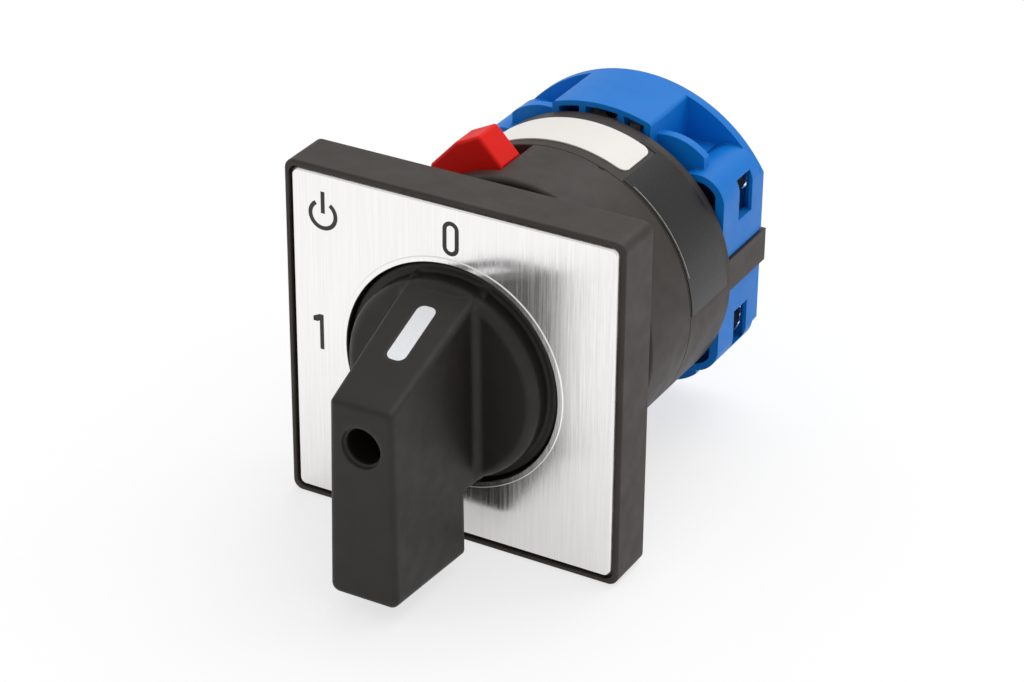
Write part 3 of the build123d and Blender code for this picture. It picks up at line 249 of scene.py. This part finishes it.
def drawn_metal(name, dark, light, rough, along=(1.0, 1.0, 1.0), line=0.25):
    """Metal with draw or roll lines along an axis and a slightly uneven polish. Line width in millimetres."""
    mat, tree, shader = new_finish(name, light, rough, Metallic=1.0)
    place = add_node(tree, "ShaderNodeTexCoord").outputs["Object"]
    stretch = add_node(tree, "ShaderNodeMapping", {"Scale": along}, {"Vector": place})
    lines = add_node(tree, "ShaderNodeTexNoise", {"Scale": 1 / (line * MM), "Detail": 3.0},
                     {"Vector": stretch.outputs["Vector"]})
    stain = add_node(tree, "ShaderNodeTexNoise", {"Scale": 1 / STAIN_SIZE, "Detail": 4.0}, {"Vector": place})
    tone = add_node(tree, "ShaderNodeValToRGB", links={"Fac": stain.outputs["Fac"]},
                    stops=((0.35, dark), (0.65, light)))
    tree.links.new(tone.outputs["Color"], shader.inputs["Base Color"])
    gloss = add_node(tree, "ShaderNodeMapRange",
                     {"From Min": 0.3, "From Max": 0.7, "To Min": rough - 0.08, "To Max": rough + 0.08},
                     {"Value": lines.outputs["Fac"]})
    tree.links.new(gloss.outputs["Result"], shader.inputs["Roughness"])
    relief = add_node(tree, "ShaderNodeBump", {"Distance": LINE_DEPTH}, {"Height": lines.outputs["Fac"]})
    tree.links.new(relief.outputs["Normal"], shader.inputs["Normal"])
    return mat


def skin(name, dark, light, rough, wave, depth, **sockets):
    """Film, ink or rubber skin: tone changes little and the surface waves. Wave and depth in millimetres."""
    mat, tree, shader = new_finish(name, light, rough, **sockets)
    place = add_node(tree, "ShaderNodeTexCoord").outputs["Object"]
    swell = add_node(tree, "ShaderNodeTexNoise", {"Scale": 1 / (wave * MM), "Detail": 3.0}, {"Vector": place})
    fleck = add_node(tree, "ShaderNodeTexNoise", {"Scale": 1 / FLECK_SIZE, "Detail": 2.0}, {"Vector": place})
    tone = add_node(tree, "ShaderNodeValToRGB", links={"Fac": fleck.outputs["Fac"]},
                    stops=((0.35, dark), (0.65, light)))
    tree.links.new(tone.outputs["Color"], shader.inputs["Base Color"])
    gloss = add_node(tree, "ShaderNodeMapRange",
                     {"From Min": 0.3, "From Max": 0.7, "To Min": rough - 0.04, "To Max": rough + 0.04},
                     {"Value": fleck.outputs["Fac"]})
    tree.links.new(gloss.outputs["Result"], shader.inputs["Roughness"])
    relief = add_node(tree, "ShaderNodeBump", {"Distance": depth * MM}, {"Height": swell.outputs["Fac"]})
    tree.links.new(relief.outputs["Normal"], shader.inputs["Normal"])
    return mat


# The third colour of each moulding is a painted highlight along the edges
MATERIALS = {
    # Glass-filled polyamide, spark-eroded mould: warm black, dull even grain
    "black_plastic": moulding("spark-grained black polyamide", colour("2c2521"), colour("332c28"),
                              colour("423b36"), 0.52, 0.36),
    # Polyamide, finer grain: deeper black, with a wide painted highlight along its rounded edges
    "knob_plastic": moulding("fine-grained black polyamide", colour("191512"), colour("1e1a17"),
                             colour("37322e"), 0.46, 0.36, 0.2, 0.008, 0.75),
    "brushed_silver": brushed_sheet(),
    # Second-shot white polymer, lightly polished
    "white_inlay": skin("moulded white inlay", colour("e2e3e6"), colour("e9eaed"), 0.42, 1.5, 0.01),
    # Zinc plated and passivated steel: soft grey with a faint mottle
    "screw_steel": drawn_metal("zinc plated steel", colour("808387"), colour("8c8f93"), 0.44),
    # Cold drawn bar: fine lines along the bar
    "shaft_steel": drawn_metal("cold drawn steel bar", colour("8f9194"), colour("aeb0b3"), 0.3,
                               (1.0, 0.03, 1.0)),
    # Hardened strip and wire: bright with a blue cast
    "spring_steel": drawn_metal("polished spring steel", colour("8e9399"), colour("aab0b6"), 0.26,
                                (1.0, 1.0, 0.1)),
    # Nitrile rubber, moulded: dull with a dry bloom
    "seal_rubber": skin("moulded nitrile rubber", colour("141414"), colour("1c1b1b"), 0.72, 0.8, 0.02),
    # Red polyamide, half-polished mould
    "red_plastic": moulding("half-polished red polyamide", colour("da1810"), colour("e21c14"),
                            colour("ea3628"), 0.5, 0.12, 0.35, 0.004, 0.2),
    # Undyed acetal: cream, slightly waxy
    "natural_plastic": moulding("undyed acetal", colour("cfc8b8"), colour("d8d2c4"), colour("e0dbd0"),
                                0.38, 0.45, 0.4, 0.004),
    # Vinyl film, gloss printed white
    "white_film": skin("gloss white vinyl film", colour("e1ded9"), colour("e4e1dc"), 0.34, 3.0, 0.012),
    # Vinyl film, gloss printed near black
    "dark_film": skin("gloss dark vinyl film", colour("0f0e0d"), colour("131211"), 0.28, 2.5, 0.008,
                      Specular_IOR_Level=0.36),
    # Polycarbonate, satin mould: strong mid blue
    "blue_plastic": moulding("satin blue polycarbonate", colour("0370c7"), colour("0474cb"), colour("2f90de"),
                             0.46, 0.22, 0.3, 0.005, 0.15),
    # Cold rolled brass strip: straight roll lines
    "contact_brass": drawn_metal("cold rolled brass strip", colour("b08b49"), colour("cfab68"), 0.32,
                                 (0.05, 1.0, 1.0)),
    # Screen printed ink, slightly rough at the mesh
    "print_ink": skin("screen printed black ink", colour("2c2b2b"), colour("343333"), 0.6, 0.4, 0.004),
    # Fine pale strip: painted highlight along the dark label's front edge, not print
    "edge_highlight_strip": skin("pale strip painted as label edge highlight", colour("9c9a98"), colour("b4b2b0"), 0.5, 0.4, 0.004),
}


def paint_frame():
    """Gives every CAD node the material of its slot."""
    for part in frame["record"]["subparts"]:
        node = NODES[part["node"]]
        node.data.materials.clear()
        node.data.materials.append(MATERIALS[part["material_slot"]])


def choose(test):
    """Selects the vertices of the edited piece that pass a test on their place."""
    piece = bpy.context.object
    bpy.context.view_layer.update()
    mesh = bmesh.from_edit_mesh(piece.data)
    for vert in mesh.verts:
        vert.select_set(False)
    for vert in mesh.verts:
        if test(piece.matrix_world @ vert.co):
            vert.select_set(True)
    mesh.select_flush(True)
    bmesh.update_edit_mesh(piece.data)


def flat_plate(width, height, x, z):
    """Upright quad on the legend's front, left in edit mode."""
    bpy.ops.object.select_all(action="DESELECT")
    bpy.ops.mesh.primitive_plane_add(size=1.0, location=(x, LEGEND_Y, z), rotation=(math.pi / 2, 0, 0))
    bpy.ops.object.mode_set(mode="EDIT")
    bpy.ops.transform.resize(value=(width, 1.0, height))


def apply_all(piece):
    """Applies the piece's modifiers."""
    for modifier in list(piece.modifiers):
        bpy.ops.object.modifier_apply(modifier=modifier.name)


def settle(name, slot, body, ink=None):
    """Names the active piece, puts its place in its mesh, gives it a material and a body."""
    piece = bpy.context.object
    piece.name = name
    piece.data.name = name
    bpy.ops.object.transform_apply(location=True, rotation=True, scale=True)
    piece.data.materials.clear()
    piece.data.materials.append(MATERIALS[ink or slot])
    if body:
        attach(piece, body)
    return piece


def print_layer(name):
    """Turns the flat edited shape into a thin closed layer of ink."""
    bpy.ops.object.mode_set(mode="OBJECT")
    piece = bpy.context.object
    layer = piece.modifiers.new("layer", "SOLIDIFY")
    layer.thickness = 2 * LAYER_HALF_THICKNESS
    layer.offset = 0.0
    apply_all(piece)
    bpy.ops.object.mode_set(mode="EDIT")
    bpy.ops.mesh.select_all(action="SELECT")
    bpy.ops.mesh.normals_make_consistent(inside=False)
    bpy.ops.object.mode_set(mode="OBJECT")
    return settle(name, "black_plastic", "housing", "print_ink")


def legend_zero():
    """Upright ring with straight sides, at the top."""
    bpy.ops.object.select_all(action="DESELECT")
    bpy.ops.mesh.primitive_circle_add(vertices=42, radius=ZERO_WIDTH / 2, fill_type="NGON",
                                      location=(0, LEGEND_Y, ZERO_Z), rotation=(math.pi / 2, 0, 0))
    bpy.ops.object.mode_set(mode="EDIT")
    reach = (ZERO_HEIGHT - ZERO_WIDTH) / 2
    for side in (1, -1):
        choose(lambda p: side * (p.z - ZERO_Z) > 0)
        bpy.ops.transform.translate(value=(0, 0, side * reach))
    bpy.ops.mesh.select_all(action="SELECT")
    bpy.ops.mesh.inset(thickness=STROKE)
    bpy.ops.mesh.delete(type="FACE")
    print_layer("legend_zero")


def legend_one():
    """Upright stroke with a slanted flag, at the left."""
    flat_plate(STROKE, ONE_HEIGHT, ONE_X, ONE_Z)
    top = ONE_Z + ONE_HEIGHT / 2
    bpy.ops.mesh.select_all(action="SELECT")
    bpy.ops.mesh.bisect(plane_co=(ONE_X, LEGEND_Y, top - FLAG_ROOT), plane_no=(0, 0, 1))
    choose(lambda p: p.x < ONE_X and p.z > top - FLAG_ROOT - LAYER_HALF_THICKNESS)
    bpy.ops.mesh.extrude_region_move(TRANSFORM_OT_translate={"value": (-FLAG_WIDTH, 0, -FLAG_DROP)})
    print_layer("legend_one")


def legend_sign():
    """Open ring with an upright bar: a plain on-off sign."""
    centre = (SIGN_X, LEGEND_Y, SIGN_Z)
    bar = (SIGN_X, LEGEND_Y, SIGN_Z + SIGN_BAR / 2 + SIGN_BAR_RAISE)
    flat_plate(SIGN_START, STROKE, SIGN_X, SIGN_Z - SIGN_R - STROKE / 2)
    choose(lambda p: p.x > SIGN_X)
    bpy.ops.mesh.spin(steps=48, angle=math.radians(SIGN_SWEEP), center=centre, axis=(0, -1, 0))
    bpy.ops.mesh.select_all(action="SELECT")
    bpy.ops.transform.rotate(value=math.radians(180 - (360 - SIGN_SWEEP) / 2), orient_axis="Y",
                             orient_type="GLOBAL", center_override=centre)
    bpy.ops.mesh.select_all(action="DESELECT")
    bpy.ops.mesh.primitive_plane_add(size=1.0, location=bar, rotation=(math.pi / 2, 0, 0))
    bpy.ops.transform.resize(value=(STROKE, 1.0, SIGN_BAR))
    print_layer("legend_sign")


def label_edge_highlight():
    """Fine pale strip along the front edge of the dark label: a painted highlight, not print."""
    y = DARK_LABEL_Y + LINE_SETBACK
    bpy.ops.object.select_all(action="DESELECT")
    bpy.ops.mesh.primitive_plane_add(size=1.0, location=(LABEL_R, y, 0))
    bpy.ops.object.mode_set(mode="EDIT")
    bpy.ops.transform.resize(value=(2 * LAYER_HALF_THICKNESS, LINE_WIDTH, 1.0))
    bpy.ops.mesh.select_all(action="SELECT")
    bpy.ops.transform.rotate(value=LINE_START, orient_axis="Y", orient_type="GLOBAL",
                             center_override=(0, y, 0))
    bpy.ops.mesh.spin(steps=60, angle=LINE_START - LINE_END, center=(0, y, 0), axis=(0, -1, 0))
    bpy.ops.mesh.select_all(action="SELECT")
    bpy.ops.mesh.remove_doubles(threshold=0.001 * MM)
    bpy.ops.mesh.normals_make_consistent(inside=False)
    bpy.ops.object.mode_set(mode="OBJECT")
    settle("label_edge_highlight", "white_film", "housing", "edge_highlight_strip")


def screwed(name, profile_r, sides, axis, radius, origin, turns, pitch, steps):
    """Profile wound about an axis through a place, both ends closed."""
    bpy.ops.object.select_all(action="DESELECT")
    bpy.ops.mesh.primitive_circle_add(vertices=sides, radius=profile_r, location=origin)
    bpy.ops.object.mode_set(mode="EDIT")
    bpy.ops.mesh.select_all(action="SELECT")
    bpy.ops.transform.rotate(value=math.pi / 2, orient_axis="X" if axis == "Z" else "Z",
                             orient_type="GLOBAL", center_override=origin)
    bpy.ops.transform.translate(value=(radius, 0, 0))
    bpy.ops.object.mode_set(mode="OBJECT")
    piece = bpy.context.object
    coil = piece.modifiers.new("coil", "SCREW")
    coil.axis = axis
    coil.angle = 2 * math.pi * turns
    coil.screw_offset = pitch * turns
    coil.steps = steps
    coil.render_steps = steps
    apply_all(piece)
    bpy.ops.object.mode_set(mode="EDIT")
    bpy.ops.mesh.select_all(action="SELECT")
    bpy.ops.mesh.fill_holes(sides=sides)
    bpy.ops.mesh.normals_make_consistent(inside=False)
    bpy.ops.object.mode_set(mode="OBJECT")
    bpy.ops.object.shade_smooth_by_angle(angle=SMOOTH_ANGLE)


def collar_thread():
    """Thread of the mounting collar, in the space for the panel."""
    screwed("thread", THREAD_R, THREAD_SIDES, "Y", COLLAR_R, (0, THREAD_FRONT, 0), THREAD_TURNS, THREAD_PITCH,
            THREAD_STEPS)
    settle("collar_thread", "black_plastic", "housing")


def contact_springs():
    """Coil springs wound in the boxes of the spring nodes, which they hide."""
    for side, name, carrier in ((1, "spring_top", "upper_carrier"), (-1, "spring_bottom", "lower_carrier")):
        low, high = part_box(name)
        middle = (low[1] + high[1]) / 2
        inner, outer = (low[2], high[2]) if side > 0 else (high[2], low[2])
        height = abs(outer - inner) - 2 * WIRE_R
        origin = (0, middle, inner + side * WIRE_R)
        screwed(name, WIRE_R, WIRE_SIDES, "Z", SPRING_R, origin, SPRING_TURNS, side * height / SPRING_TURNS,
                SPRING_STEPS)
        piece = settle(name + "_coil", "spring_steel", None)
        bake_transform(piece)
        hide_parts(name)


def seam_nib():
    """Small locating nib on the seam between the two housings."""
    place = (BODY_R * math.cos(NIB_ANGLE), SEAM_Y, BODY_R * math.sin(NIB_ANGLE))
    bpy.ops.object.select_all(action="DESELECT")
    bpy.ops.mesh.primitive_cube_add(size=1.0, location=place, rotation=(0, math.pi / 2 - NIB_ANGLE, 0),
                                    scale=NIB_SIZE)
    bpy.ops.object.transform_apply(location=False, rotation=False, scale=True)
    piece = bpy.context.object
    piece.modifiers.new("round", "BEVEL").width = NIB_EDGE
    piece.modifiers["round"].segments = 3
    apply_all(piece)
    bpy.ops.object.shade_smooth_by_angle(angle=SMOOTH_ANGLE)
    settle("seam_nib", "black_plastic", "housing")


def floor():
    """Pale floor that fades into the background."""
    bpy.ops.object.select_all(action="DESELECT")
    bpy.ops.mesh.primitive_plane_add(size=FLOOR_SIZE, location=(0, 0, FLOOR_Z))
    sheet = bpy.context.object
    sheet.name = "floor"
    card = skin("matt white card", colour("f8f8f8"), colour("fbfbfb"), 0.85, 30.0, 0.0,
                Specular_IOR_Level=0.1)
    tree = card.node_tree
    path = add_node(tree, "ShaderNodeLightPath")
    mirrored = add_node(tree, "ShaderNodeMath", {1: MIRROR_GLOW}, {0: path.outputs["Is Glossy Ray"]},
                        operation="MULTIPLY")
    share = add_node(tree, "ShaderNodeMath", {1: FLOOR_GLOW},
                     {0: path.outputs["Is Camera Ray"], 2: mirrored.outputs["Value"]},
                     operation="MULTIPLY_ADD")
    glow = add_node(tree, "ShaderNodeEmission", {"Color": (1, 1, 1, 1), "Strength": 1.0})
    lit = tree.nodes["Principled BSDF"].outputs["BSDF"]
    mix = add_node(tree, "ShaderNodeMixShader",
                   links={0: share.outputs["Value"], 1: lit, 2: glow.outputs["Emission"]})
    tree.links.new(mix.outputs["Shader"], tree.nodes["Material Output"].inputs["Surface"])
    sheet.data.materials.append(card)


def world():
    """White to the camera, a grey gradient to the object."""
    sky = bpy.data.worlds.new("studio")
    bpy.context.scene.world = sky
    sky.use_nodes = True
    tree = sky.node_tree
    tree.nodes.clear()
    place = add_node(tree, "ShaderNodeTexCoord").outputs["Generated"]
    split = add_node(tree, "ShaderNodeSeparateXYZ", links={"Vector": place})
    tone = add_node(tree, "ShaderNodeValToRGB", links={"Fac": split.outputs["Z"]},
                    stops=((0.0, (HORIZON, HORIZON, HORIZON, 1)), (1.0, (ZENITH, ZENITH, ZENITH, 1))))
    room = add_node(tree, "ShaderNodeBackground", {"Strength": 1.0}, {"Color": tone.outputs["Color"]})
    white = add_node(tree, "ShaderNodeBackground", {"Color": (1, 1, 1, 1), "Strength": 1.0})
    seen = add_node(tree, "ShaderNodeLightPath").outputs["Is Camera Ray"]
    mix = add_node(tree, "ShaderNodeMixShader", links={0: seen, 1: room.outputs[0], 2: white.outputs[0]})
    add_node(tree, "ShaderNodeOutputWorld", links={"Surface": mix.outputs[0]})


def softbox(name, place, size, power, target=(0.0, 0.01, 0.0)):
    """Area light aimed at a point, sizes in metres."""
    data = bpy.data.lights.new(name, "AREA")
    data.shape = "RECTANGLE"
    data.size, data.size_y = size
    data.energy = power
    lamp = bpy.data.objects.new(name, data)
    lamp.location = place
    lamp.rotation_euler = (Vector(place) - Vector(target)).to_track_quat("Z", "Y").to_euler()
    bpy.context.scene.collection.objects.link(lamp)


def camera():
    """Camera fitted to the photo."""
    data = bpy.data.cameras.new("camera")
    data.sensor_width = CAMERA_SENSOR
    data.lens = CAMERA_LENS
    view = bpy.data.objects.new("camera", data)
    view.location = CAMERA_PLACE
    view.rotation_euler = CAMERA_TURN
    bpy.context.scene.collection.objects.link(view)
    bpy.context.scene.camera = view


paint_frame()
legend_zero()
legend_one()
legend_sign()
# Pale strip along the dark label's front edge: painted highlight
label_edge_highlight()
collar_thread()
contact_springs()
seam_nib()
floor()
world()
softbox("top box", (0.12, 0.4, 0.85), (0.8, 0.8), 4.6)
camera()
bpy.context.scene.view_settings.view_transform = "Standard"
